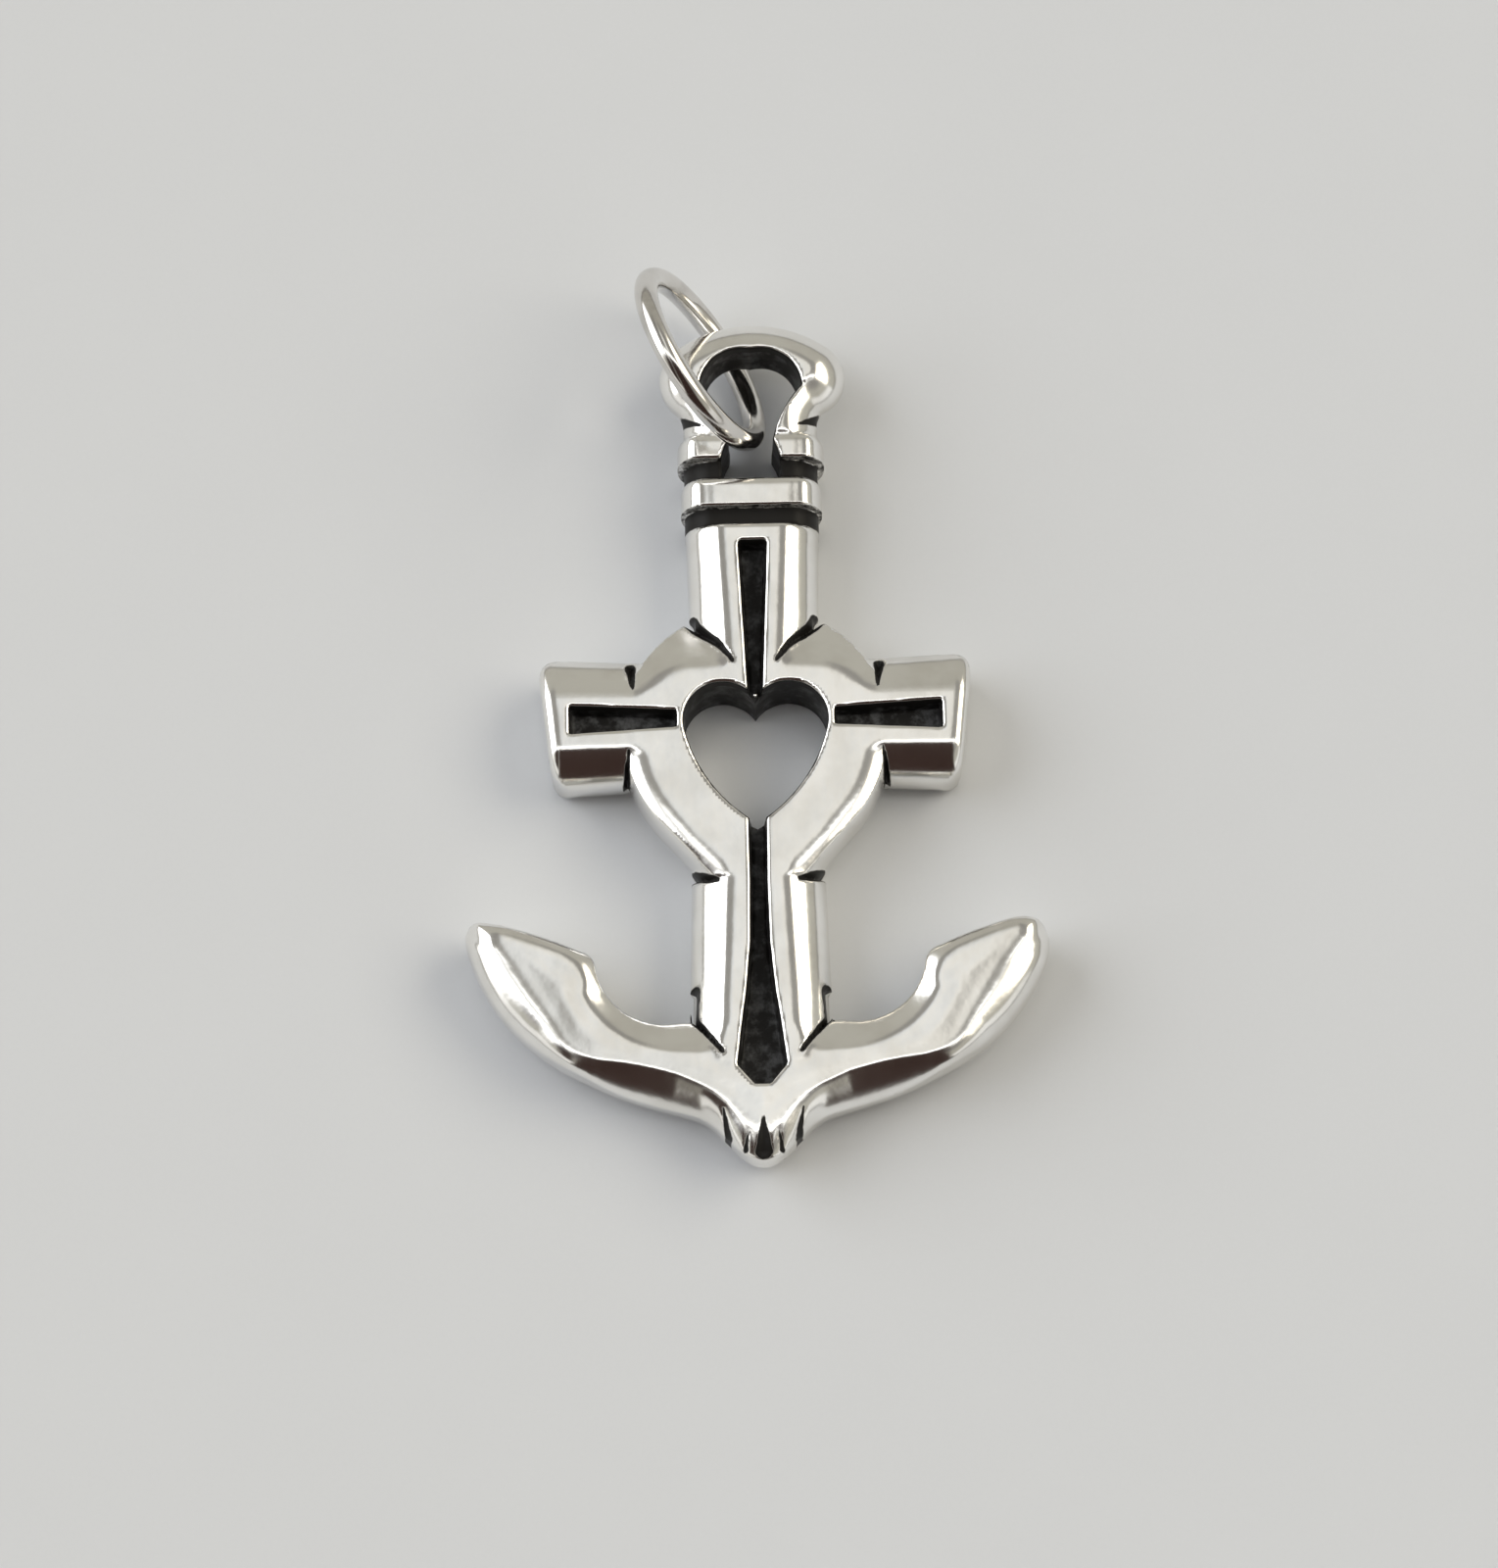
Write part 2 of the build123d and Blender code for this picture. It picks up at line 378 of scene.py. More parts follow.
@dataclass(frozen=True)
class Crease:
    """A tapered, blackened crease in a corner between two members; its black is patina and also
    painted shade in the corner.

    It goes from its wide half width at the first place to its narrow one at the last. It bites
    into the metal by its carve, and its black has worn back at the edges where it is worn.
    """

    places: tuple[Point, ...]
    wide: float
    narrow: float
    carve: float
    worn: float = 0.0

    def room(self, x: Array, y: Array) -> Array:
        """Measure the distance from the crease, which is on both sides of the axis.

        Args:
            x: Places across the pendant.
            y: Places along the pendant.

        Returns:
            The distance: negative in the crease.
        """
        legs = list(zip(self.places[:-1], self.places[1:]))
        result = np.inf
        for number, (start, end) in enumerate(legs):
            run = np.subtract(end, start)
            off_x, off_y = np.abs(x) - start[0], y - start[1]
            share = np.clip((off_x * run[0] + off_y * run[1]) / float(run @ run), 0.0, 1.0)
            gap = np.hypot(off_x - share * run[0], off_y - share * run[1])
            half = self.wide + (self.narrow - self.wide) * (number + share) / len(legs)
            result = np.minimum(result, gap - half)
        return result

    def bite(self, x: Array, y: Array) -> Array:
        """How deep the crease goes into the metal."""
        return self.carve * eased(-self.room(x, y) / self.wide, 0.0, 1.0)


class Caster:
    """Casts a quad mesh from the depth field of a solid, crisp where the solid is crisp.

    Each cell that the surface crosses gets one vertex, on the planes that have their least
    share in it. Smooth stretches are then evened out, and set back on the surface, in rounds.
    """

    refinements: int = 3
    slope_step: float = 0.002
    least_share: float = 0.04
    rounds: int = 2
    pull: float = 0.5
    least_slope: float = 0.1

    def __init__(self, depth: Field, low: Colour, high: Colour, cell: float) -> None:
        """Prepare a cast.

        Args:
            depth: Depth in the metal at places x, y and z.
            low: Lowest corner of the room that is looked at.
            high: Its highest corner.
            cell: Size of the mesh's quads.
        """
        self.depth, self.cell = depth, cell
        self.axes = [np.arange(start, end + cell, cell) for start, end in zip(low, high)]

    def cast(self) -> tuple[Array, Array]:
        """Cast the mesh.

        Returns:
            The vertices and the quads.
        """
        x, y, z = self.axes
        field = self.depth(x[:, None, None], y[None, :, None], z[None, None, :])
        room = tuple(count - 1 for count in field.shape)
        spots, quads = [], []
        for axis in range(3):
            crossing, corners = self._crossings(field, axis)
            spots.append(crossing)
            quads.append(np.ravel_multi_index(np.moveaxis(corners, -1, 0), room))
        spots, quads = np.concatenate(spots), np.concatenate(quads)
        names, quads = np.unique(quads, return_inverse=True)
        quads = quads.reshape(-1, 4)
        cells = np.stack(np.unravel_index(names, room), axis=-1)
        vertices, plain = self._settle(spots, quads, cells)
        return self._relax(vertices, quads, plain), quads

    def _crossings(self, field: Array, axis: int) -> tuple[Array, Array]:
        """Find where the grid's lines along an axis pierce the surface.

        Args:
            field: Depth at the grid's places.
            axis: The axis, 0 to 2.

        Returns:
            The pierced places, and the four cells round each of them.
        """
        before, after = [slice(None)] * 3, [slice(None)] * 3
        before[axis], after[axis] = slice(0, -1), slice(1, None)
        first, second = field[tuple(before)], field[tuple(after)]
        changes = (first > 0) != (second > 0)
        place = np.argwhere(changes)
        start, end = first[changes], second[changes]
        origin = np.stack([self.axes[k][place[:, k]] for k in range(3)], axis=-1)
        step = np.zeros(3)
        step[axis] = self.cell
        near, far = np.zeros(len(place)), np.ones(len(place))
        near_depth, far_depth = start.copy(), end.copy()
        for _ in range(self.refinements):
            share = near + (far - near) * near_depth / (near_depth - far_depth)
            here = self.at(origin + share[:, None] * step)
            same = (here > 0) == (near_depth > 0)
            near, near_depth = np.where(same, share, near), np.where(same, here, near_depth)
            far, far_depth = np.where(same, far, share), np.where(same, far_depth, here)
        offsets = np.zeros((4, 3), int)
        offsets[1:3, (axis + 1) % 3] = -1
        offsets[2:4, (axis + 2) % 3] = -1
        corners = place[:, None, :] + offsets[None]
        corners[end > 0] = corners[end > 0][:, ::-1]
        return origin + share[:, None] * step, corners

    def at(self, spots: Array) -> Array:
        """Depth at a list of places."""
        return self.depth(spots[:, 0], spots[:, 1], spots[:, 2])

    def slope(self, spots: Array) -> Array:
        """Gradient of the depth at a list of places."""
        moves = np.eye(3) * self.slope_step
        return np.stack([self.at(spots + move) - self.at(spots - move) for move in moves],
                        axis=-1) / (2 * self.slope_step)

    def _settle(self, spots: Array, quads: Array, cells: Array) -> tuple[Array, Array]:
        """Place each cell's vertex on the planes that cross the cell.

        Args:
            spots: Where the surface is pierced, one place for each quad.
            quads: The cells round each place.
            cells: Grid place of each cell.

        Returns:
            The vertices, and which of them lie on a smooth stretch.
        """
        slope = self.slope(spots)
        normal = slope / np.maximum(np.linalg.norm(slope, axis=1, keepdims=True), TINY)
        owner, count = quads.ravel(), len(cells)
        normal, spots = np.repeat(normal, 4, axis=0), np.repeat(spots, 4, axis=0)

        def gathered(values: Array) -> Array:
            """Sum of values over the cell that owns them."""
            return np.bincount(owner, weights=values, minlength=count)

        number = gathered(np.ones(len(owner)))
        middle = np.stack([gathered(spots[:, k]) / number for k in range(3)], axis=-1)
        offset = np.sum(normal * (spots - middle[owner]), axis=1)
        square = np.stack([np.stack([gathered(normal[:, i] * normal[:, j]) / number
                                     for i in range(3)], axis=-1) for j in range(3)], axis=-1)
        right = np.stack([gathered(normal[:, k] * offset) / number for k in range(3)], axis=-1)
        values, vectors = np.linalg.eigh(square)
        inverse = np.where(values > self.least_share, 1 / np.maximum(values, TINY), 0.0)
        move = np.einsum("nij,nj,nkj,nk->ni", vectors, inverse, vectors, right)
        corner = np.stack([self.axes[k][cells[:, k]] for k in range(3)], axis=-1)
        vertices = np.clip(middle + move, corner, corner + self.cell)
        return vertices, values[:, 1] <= self.least_share

    def _relax(self, vertices: Array, quads: Array, plain: Array) -> Array:
        """Even out the smooth stretches and set their vertices exactly on the surface.

        Args:
            vertices: Places of the vertices.
            quads: Corners of the quads.
            plain: Which vertices lie on a smooth stretch.

        Returns:
            The new places.
        """
        ends = np.concatenate([quads[:, [k, (k + 1) % 4]] for k in range(4)])
        ends = np.concatenate([ends, ends[:, ::-1]])
        number = np.bincount(ends[:, 0], minlength=len(vertices))[:, None]
        for _ in range(self.rounds):
            near = np.stack([np.bincount(ends[:, 0], weights=vertices[ends[:, 1], k],
                                         minlength=len(vertices)) for k in range(3)], axis=-1)
            evened = vertices + self.pull * (near / number - vertices)
            slope, depth = self.slope(evened), self.at(evened)
            square = np.maximum(np.sum(slope * slope, axis=1), self.least_slope)
            step = np.clip(depth / square, -self.cell / 2, self.cell / 2)[:, None] * slope
            vertices = np.where(plain[:, None], evened - step, vertices)
        return vertices


def mesh_object(name: str, vertices: Array, faces: Array) -> bpy.types.Object:
    """Make a smooth object from vertices in metres.

    Args:
        name: Name of the piece.
        vertices: Places of the vertices.
        faces: Corners of the quads.

    Returns:
        The object, in the scene.
    """
    mesh = bpy.data.meshes.new(name)
    mesh.from_pydata(vertices.tolist(), [], faces.tolist())
    mesh.shade_smooth()
    piece = bpy.data.objects.new(name, mesh)
    bpy.context.scene.collection.objects.link(piece)
    return piece


class Signal:
    """A socket of a node tree that takes part in Python arithmetic."""

    def __init__(self, bench: "Bench", socket: bpy.types.NodeSocket) -> None:
        """Wrap an output socket."""
        self.bench, self.socket = bench, socket

    def __add__(self, other: "Signal | float") -> "Signal":
        """Sum."""
        return self.bench.maths("ADD", self, other)

    def __radd__(self, other: float) -> "Signal":
        """Sum, from the right."""
        return self.bench.maths("ADD", other, self)

    def __sub__(self, other: "Signal | float") -> "Signal":
        """Difference."""
        return self.bench.maths("SUBTRACT", self, other)

    def __rsub__(self, other: float) -> "Signal":
        """Difference, from the right."""
        return self.bench.maths("SUBTRACT", other, self)

    def __mul__(self, other: "Signal | float") -> "Signal":
        """Product."""
        return self.bench.maths("MULTIPLY", self, other)

    def __rmul__(self, other: float) -> "Signal":
        """Product, from the right."""
        return self.bench.maths("MULTIPLY", other, self)

    def __abs__(self) -> "Signal":
        """Size without sign."""
        return self.bench.maths("ABSOLUTE", self)

    def most(self, other: "Signal | float") -> "Signal":
        """The larger of two."""
        return self.bench.maths("MAXIMUM", self, other)

    def rise(self, start: float, end: float) -> "Signal":
        """Go smoothly from 0 to 1 while the signal goes from start to end."""
        node = self.bench.node("ShaderNodeMapRange", {"interpolation_type": "SMOOTHSTEP"},
                               {"Value": self, "From Min": start, "From Max": end})
        return Signal(self.bench, node.outputs["Result"])


class Bench:
    """The node tree of one material or world."""

    def __init__(self, tree: bpy.types.NodeTree) -> None:
        """Clear the tree."""
        self.tree = tree
        tree.nodes.clear()

    @classmethod
    def of_material(cls, name: str) -> tuple[bpy.types.Material, "Bench"]:
        """Start a material.

        Args:
            name: The material's name.

        Returns:
            The material, and the bench of its empty tree.
        """
        material = bpy.data.materials.new(name)
        material.use_nodes = True
        return material, cls(material.node_tree)

    def shade(self, sockets: dict[str, object]) -> None:
        """Finish a material with its shader.

        Args:
            sockets: Values or signals for the shader's inputs.
        """
        shader = self.node("ShaderNodeBsdfPrincipled", None, sockets)
        self.node("ShaderNodeOutputMaterial", None,
                  {"Surface": Signal(self, shader.outputs["BSDF"])})

    def node(self, kind: str, settings: dict[str, object] | None = None,
             sockets: dict[str | int, object] | None = None) -> bpy.types.Node:
        """Add any node.

        Args:
            kind: The node's type.
            settings: Its options, set first.
            sockets: Values or signals for its inputs, by name or number.

        Returns:
            The node.
        """
        made = self.tree.nodes.new(kind)
        for name, value in (settings or {}).items():
            setattr(made, name, value)
        for name, value in (sockets or {}).items():
            if isinstance(value, Signal):
                self.tree.links.new(value.socket, made.inputs[name])
            else:
                made.inputs[name].default_value = value
        return made

    def maths(self, operation: str, *values: Signal | float) -> Signal:
        """Add a Math node.

        Args:
            operation: Its operation.
            values: Its inputs in order.

        Returns:
            The result.
        """
        made = self.node("ShaderNodeMath", {"operation": operation}, dict(enumerate(values)))
        return Signal(self, made.outputs[0])

    def blend(self, share: Signal | float, first: Signal | Colour,
              second: Signal | Colour) -> Signal:
        """Mix two colours.

        Args:
            share: 0 gives the first and 1 the second.
            first: One colour.
            second: The other colour.

        Returns:
            The mixed colour.
        """
        made = self.node("ShaderNodeMix", {"data_type": "RGBA"}, {
            0: share, 6: self._full(first), 7: self._full(second)})
        return Signal(self, made.outputs[2])

    def _full(self, colour: Signal | Colour) -> object:
        """A colour with its fourth value."""
        return colour if isinstance(colour, Signal) else (*colour, 1.0)

    def noise(self, place: Signal, size: float, detail: float = 2.0,
              roughness: float = 0.5) -> Signal:
        """Add smooth noise.

        Args:
            place: Coordinates in metres.
            size: Size of its largest waves in millimetres.
            detail: Number of finer layers.
            roughness: Weight of the finer layers.

        Returns:
            The noise, about 0.5.
        """
        made = self.node("ShaderNodeTexNoise", None, {
            "Vector": place, "Scale": 1 / (size * MM), "Detail": detail,
            "Roughness": roughness})
        return Signal(self, made.outputs[0])

    def stretched(self, place: Signal, scale: Colour) -> Signal:
        """Coordinates drawn out by a factor along each axis."""
        made = self.node("ShaderNodeVectorMath", {"operation": "MULTIPLY"},
                         {0: place, 1: scale})
        return Signal(self, made.outputs[0])

    def bump(self, height: Signal, depth: float, below: Signal | None = None) -> Signal:
        """Turn a height into a normal.

        Args:
            height: The height, from 0 to 1.
            depth: What 1 stands for, in millimetres.
            below: A normal that this one is laid over.

        Returns:
            The normal.
        """
        sockets = {"Height": height, "Distance": depth * MM, "Strength": 1.0}
        if below is not None:
            sockets["Normal"] = below
        made = self.node("ShaderNodeBump", None, sockets)
        return Signal(self, made.outputs["Normal"])

    def place(self) -> Signal:
        """Coordinates of the piece in metres."""
        return Signal(self, self.node("ShaderNodeTexCoord").outputs["Object"])


@dataclass(frozen=True)
class CastSilver:
    """Polished cast silver with black patina left in the engraving and in the corners, where the
    black is also painted shade; the deepest patina has a painted sheen and the lower sides have
    painted shade.
    """

    silver: Colour = (0.93, 0.92, 0.895)
    silver_dull: Colour = (0.84, 0.825, 0.79)
    silver_painted_low_shade: Colour = (0.7, 0.685, 0.65)
    patina: Colour = (0.014, 0.013, 0.012)
    patina_mottle_and_sheen: Colour = (0.11, 0.112, 0.115)
    sheen: float = 0.12
    sheen_spread: float = 0.08
    patina_gloss: float = 0.42
    patina_specular: float = 0.15
    patina_edge: Point = (-0.015, 0.02)
    patina_sheen_depth: Point = (-0.46, -0.36)
    low_shade_from: float = 1.7
    low_shade_to: float = 0.3
    ragged: float = 0.09

    def make(self) -> bpy.types.Material:
        """Build the material.

        Returns:
            The material.
        """
        material, bench = Bench.of_material("cast_silver")
        place = bench.place()
        room = Signal(bench, bench.node("ShaderNodeAttribute", {
            "attribute_name": PATINA_AND_SHADE_ROOM}).outputs["Fac"])
        edge = (bench.noise(place, size=0.35, detail=3.0, roughness=0.6) - 0.5) * self.ragged
        polished = (room + edge).rise(*self.patina_edge)
        cloud = bench.noise(place, size=1.6, detail=3.0)
        mottle = bench.noise(place, size=0.5, detail=4.0, roughness=0.65).rise(0.42, 0.72)
        silver = bench.blend(cloud.rise(0.35, 0.7), self.silver, self.silver_dull)
        height = Signal(bench, bench.node("ShaderNodeSeparateXYZ", None, {0: place}).outputs["Z"])
        # Painted shade: the silver is painted darker towards the back, low on the sides next to the
        # sheet.
        low = 1.0 - height.rise(self.low_shade_to * MM, self.low_shade_from * MM)
        silver = bench.blend(low, silver, self.silver_painted_low_shade)
        # Mottled patina with painted sheen: the deepest patina, such as the wedge floors, is
        # painted lighter grey in mottled patches.
        deep = 1.0 - room.rise(*self.patina_sheen_depth)
        black = bench.blend(mottle * deep, self.patina, self.patina_mottle_and_sheen)
        wiped = bench.stretched(place, (9.0, 1.0, 1.0))
        wipes = bench.noise(wiped, size=2.2, detail=3.0, roughness=0.6)
        roughness = self.sheen + self.sheen_spread * (wipes * 0.6 + cloud * 0.4)
        wavy = bench.bump(bench.noise(place, size=2.4, detail=1.0), depth=0.03)
        dented = bench.bump(bench.noise(place, size=0.7, roughness=0.6), depth=0.006, below=wavy)
        fine = bench.bump(bench.noise(place, size=0.12), depth=0.0008, below=dented)
        bench.shade({
            "Base Color": bench.blend(polished, black, silver),
            "Metallic": polished, "Specular IOR Level": self.patina_specular,
            "Roughness": self.patina_gloss + polished * (roughness - self.patina_gloss),
            "Normal": fine})
        return material


@dataclass(frozen=True)
class WireSilver:
    """Bright drawn silver wire with faint marks along it."""

    silver: Colour = (0.77, 0.75, 0.72)
    silver_dull: Colour = (0.62, 0.6, 0.57)
    sheen: float = 0.1
    sheen_spread: float = 0.08

    def make(self) -> bpy.types.Material:
        """Build the material.

        Returns:
            The material.
        """
        material, bench = Bench.of_material("wire_silver")
        place = bench.place()
        cloud = bench.noise(place, size=1.2, detail=3.0)
        silver = bench.blend(cloud.rise(0.4, 0.75), self.silver, self.silver_dull)
        normal = bench.bump(bench.noise(place, size=1.5), depth=0.02)
        bench.shade({
            "Base Color": silver, "Metallic": 1.0,
            "Roughness": self.sheen + self.sheen_spread * cloud, "Normal": normal})
        return material


@dataclass(frozen=True)
class PaleSheet:
    """The matt pale sheet that the pendant lies on."""

    shade: Colour = (0.71, 0.73, 0.76)
    grain_dark: float = 0.95

    def make(self) -> bpy.types.Material:
        """Build the material.

        Returns:
            The material.
        """
        material, bench = Bench.of_material("pale_sheet")
        place = bench.place()
        broad = bench.noise(place, size=6.0, detail=3.0)
        grain = broad * 0.5 + bench.noise(place, size=0.16, roughness=0.8) * 0.5
        dim = tuple(self.grain_dark * value for value in self.shade)
        bench.shade({
            "Base Color": bench.blend(grain, self.shade, dim), "Roughness": 0.9})
        return material


@dataclass
class AnchorCasting:
    """The anchor with its heart ring, collars and loop, drawn about the middle of the ring.

    A span is the stretch over which one shape goes smoothly into the next.
    """

    thickness: float = 2.7
    loop_top: float = 15.05
    shoulder: Roll = Roll(width=1.0, height=1.45, crest=0.09)
    belly: Roll = Roll(width=0.55, height=1.4)
    cove: float = 0.12
    cell: float = 0.097

    ring_roll: Roll = Roll(width=0.3, height=0.95, fullness=1.6)
    ring_bevel: float = 23.0
    bevel_worn: float = 0.12

    cross_reach: float = 7.12
    cross_height: float = 0.55

    arm_roll: Roll = Roll(width=1.2, height=1.15, fullness=1.25)
    arm_steepness: tuple[float, float, float] = (0.5, 1.0, 0.4)
    arm_worn: float = 0.07
    arm_worn_span: Point = (0.05, 0.7)
    arm_turn_span: Point = (-0.5, 0.5)
    least_shoulder: float = 0.2
    crown_span: Point = (2.1, 0.5)
    fluke_span: Point = (5.5, 6.6)
    crown_round: float = 2.0
    crown_half: float = 1.2
    tip_round: float = 0.8
    tip_worn: float = 0.9
    tip_worn_span: Point = (6.0, 8.0)

    loop_under: float = 1.05
    loop_roll: Roll = Roll(width=1.15, height=1.0, fullness=1.6)
    loop_belly: Roll = Roll(width=0.45, height=0.45)
    hole_draft: float = 6.0
    slot_span: Point = (10.2, 11.4)
    slot_foot: float = 9.22

    groove_length: float = 0.62
    groove_depth: float = 0.34
    grooves: tuple[float, float] = (7.81, 9.53)

    engraving: float = 0.85
    wedge_draft: float = 6.0
    rim: float = 0.1
    crease_foot: float = 0.6
    crease_rise: float = 0.6
    cast_side: float = 10.2
    cast_foot: float = -15.0
    margin: float = 0.25

    heart_line: float = 0.03
    heart_line_below: float = -0.04
    bare_wall_span: Point = (0.25, 0.5)
    heart_lower_span: Point = (-0.2, 1.2)
    wall_reach: float = 0.2
    crease_black_span: Point = (0.8, 1.2)
    crease_fade: float = 0.3
    room_most: float = 0.5

    def __post_init__(self) -> None:
        """Lay out the members, the cut-outs and the creases."""
        side = Roll(width=1.0, height=1.2)
        self.upper_shank = Bar(foot=2.4, top=7.5, half_foot=2.15, half_top=2.28,
                               flat_foot=0.82, flat_top=1.08, shoulder=self.shoulder,
                               belly=self.belly, lip=0.2)
        self.lower_shank = Bar(foot=-11.2, top=-2.4, half_foot=2.42, half_top=2.18,
                               flat_foot=1.24, flat_top=0.78, shoulder=self.shoulder,
                               belly=self.belly)
        self.stock = Bar(foot=2.4, top=self.cross_reach, half_foot=2.02, half_top=2.24,
                         flat_foot=0.95, flat_top=0.98, shoulder=self.shoulder,
                         belly=self.belly, lip=0.5, slant=0.11, corner=1.0,
                         far=Roll(width=0.34, height=0.8, fullness=1.5), far_out=0.1)
        self.core = Bar(foot=7.2, top=10.1, half_foot=2.3, half_top=2.3,
                        flat_foot=1.2, flat_top=1.2, shoulder=side, belly=self.belly)
        self.lower_collar = Bar(foot=8.12, top=9.22, half_foot=2.42, half_top=2.42,
                                flat_foot=1.55, flat_top=1.55, shoulder=side,
                                belly=self.belly, lip=0.4)
        self.upper_collar = Bar(foot=9.84, top=10.79, half_foot=2.52, half_top=2.52,
                                flat_foot=1.75, flat_top=1.75, shoulder=side,
                                belly=self.belly, lip=0.4)
        self.arm_outside = Contour.path(
            (-1.5, -17.27), (0.0, -15.57), ((0.72, -14.44), (1.5, -13.5)),
            ((1.93, -13.13), (2.45, -12.9)), (4.1, -12.4), ((5.0, -12.06), (5.85, -11.64)),
            ((6.55, -11.28), (7.2, -10.86)), ((8.76, -9.3), (9.92, -6.4)), (10.3, -4.0))
        self.arm_inside = Contour.path(
            (11.5, -6.1), (9.9, -6.2), ((8.0, -6.66), (5.95, -7.42)), ((5.58, -7.68), (5.46, -8.1)),
            ((4.93, -9.15), (2.75, -9.85)), (-3.0, -9.85))
        self.arm_flat = Contour.path(
            (-1.0, -14.2), (0.0, -13.23), ((0.45, -12.88), (1.0, -12.53)), (2.75, -11.72),
            ((4.0, -11.38), (5.2, -11.2)), ((6.0, -10.9), (6.5, -10.35)),
            ((7.25, -8.95), (8.55, -7.12)), ((7.3, -7.6), (6.2, -8.08)),
            ((5.98, -8.3), (5.96, -8.9)), ((4.9, -10.28), (2.8, -11.05)), (1.5, -11.12),
            (1.05, -10.5), (-1.0, -10.5))
        self.ring_outline = Contour.path(
            (-1.0, -5.15), (1.55, -5.15), (3.5, -2.98), ((4.38, -1.3), (4.64, 0.3)),
            ((3.37, 3.26), (0.0, 4.69)), (-1.0, 4.69))
        self.ring_flat = Contour.path(
            (-1.0, -5.6), (0.35, -5.6), (2.24, -3.67), (2.88, -2.86), ((3.7, -1.45), (3.95, -0.3)),
            (3.96, 0.9), ((3.3, 1.98), (2.1, 2.42)), (1.0, 2.5), (-1.0, 2.5))
        self.heart = Contour.path(
            (0.0, 1.2), ((-1.15, 1.81), (-2.42, 0.25)), ((-1.62, -1.62), (0.0, -3.17)),
            ((1.62, -1.62), (2.42, 0.25)), ((1.15, 1.81), (0.0, 1.2)))
        self.loop = Contour.path(
            (2.3, 9.5), (2.3, 11.3), ((2.36, 11.62), (2.5, 11.85)), ((3.08, 12.33), (3.3, 13.05)),
            ((3.15, 13.68), (2.74, 14.17)), ((0.1, self.loop_top), (-2.54, 14.17)),
            ((-2.95, 13.68), (-3.1, 13.05)), ((-2.94, 12.38), (-2.5, 11.85)),
            ((-2.36, 11.62), (-2.3, 11.3)), (-2.3, 9.5))
        self.hole = Contour.path(
            (1.0, 8.0), (1.0, 9.9), (0.78, 10.54), ((1.12, 11.5), (1.8, 12.5)),
            ((1.15, 13.65), (0.05, 13.84)), ((-1.05, 13.65), (-1.72, 12.45)),
            ((-1.05, 11.5), (-0.78, 10.54)), (-1.0, 9.9), (-1.0, 8.0))
        self.wedges = [
            Contour.polygon([(-0.24, 1.34), (0.24, 1.34), (0.49, 6.85), (-0.49, 6.85)],
                            radius=0.13),
            Contour.polygon([(2.66, 0.26), (6.27, 0.06), (6.27, 1.04), (2.66, 0.84)],
                            radius=0.06),
            Contour.polygon([(-0.26, -12.08), (0.26, -12.08), (0.82, -11.42), (0.63, -9.93),
                             (0.48, -8.93), (0.32, -7.25), (0.28, -5.2), (0.3, -2.6),
                             (-0.3, -2.6), (-0.28, -5.2), (-0.32, -7.25), (-0.48, -8.93),
                             (-0.63, -9.93), (-0.82, -11.42)], radius=0.09)]
        # The creases' black is patina in the corners between members and also painted shade there.
        self.creases = [
            Crease(((2.15, 4.12), (2.0, 3.88), (1.58, 3.5), (1.15, 3.12), (0.74, 2.55)),
                   wide=0.27, narrow=0.08, carve=0.34),
            Crease(((2.4, -4.72), (1.7, -5.0), (1.36, -5.08)), wide=0.22, narrow=0.08, carve=0.34),
            Crease(((4.2, 2.45), (4.12, 1.62)), wide=0.2, narrow=0.06, carve=0.25),
            Crease(((4.4, -1.75), (4.27, -0.55)), wide=0.14, narrow=0.05, carve=0.2),
            Crease(((2.2, -8.8), (2.22, -9.8), (1.3, -10.98)), wide=0.2, narrow=0.08, carve=0.34),
            # At the notch between the loop and the upper collar, this crease's black is painted
            # shade and a painted dark reflection.
            Crease(((2.6, 11.55), (2.1, 11.3), (1.55, 11.05)),
                   wide=0.27, narrow=0.06, carve=0.3, worn=0.04),
            Crease(((0.03, -14.3), (-0.04, -13.2)), wide=0.27, narrow=0.09, carve=0.1),
            Crease(((1.15, -13.85), (1.32, -12.85)), wide=0.18, narrow=0.1, carve=0.05, worn=0.06),
            Crease(((0.6, -14.25), (0.5, -13.6)), wide=0.14, narrow=0.07, carve=0.04, worn=0.05)]

    def depth(self, x: Array, y: Array, z: Array) -> Array:
        """Work out the whole casting.

        Args:
            x: Places across the pendant.
            y: Places along it, from the middle of the heart ring.
            z: Heights above the back.

        Returns:
            Depth in its metal: negative in the air.
        """
        face = self.thickness
        across = np.abs(x)
        steep = math.radians(self.ring_bevel)
        inside = self.ring_outline.depth(across, y)
        ring = np.minimum(
            np.minimum(self.ring_roll.depth(inside, face - z), self.belly.depth(inside, z)),
            softer_least(self.ring_flat.depth(across, y) * math.sin(steep)
                         + (face - z) * math.cos(steep), face - z, self.bevel_worn))
        metal = softer_most(ring, self.stock.depth(across, y - self.cross_height, z, face),
                            self.cove)
        for shank in (self.upper_shank, self.lower_shank):
            metal = softer_most(metal, shank.depth(y, x, z, face), self.cove)
        metal = softer_most(metal, self._arms(x, y, z), self.cove)
        raised = np.clip((z - self.crease_foot) / self.crease_rise, 0.0, 1.0)
        for crease in self.creases:
            metal = metal - crease.bite(x, y) * raised
        metal = np.maximum(metal, self.core.depth(y, x, z, face - self.groove_depth))
        for collar in (self.lower_collar, self.upper_collar):
            metal = np.maximum(metal, collar.depth(y, x, z, face))
        metal = softer_most(metal, self._loop(x, y, z), self.cove / 2)
        metal = np.minimum(metal, np.minimum(face - z, z))
        return softer_least(metal, -self._cuts(x, y, z), self.rim)

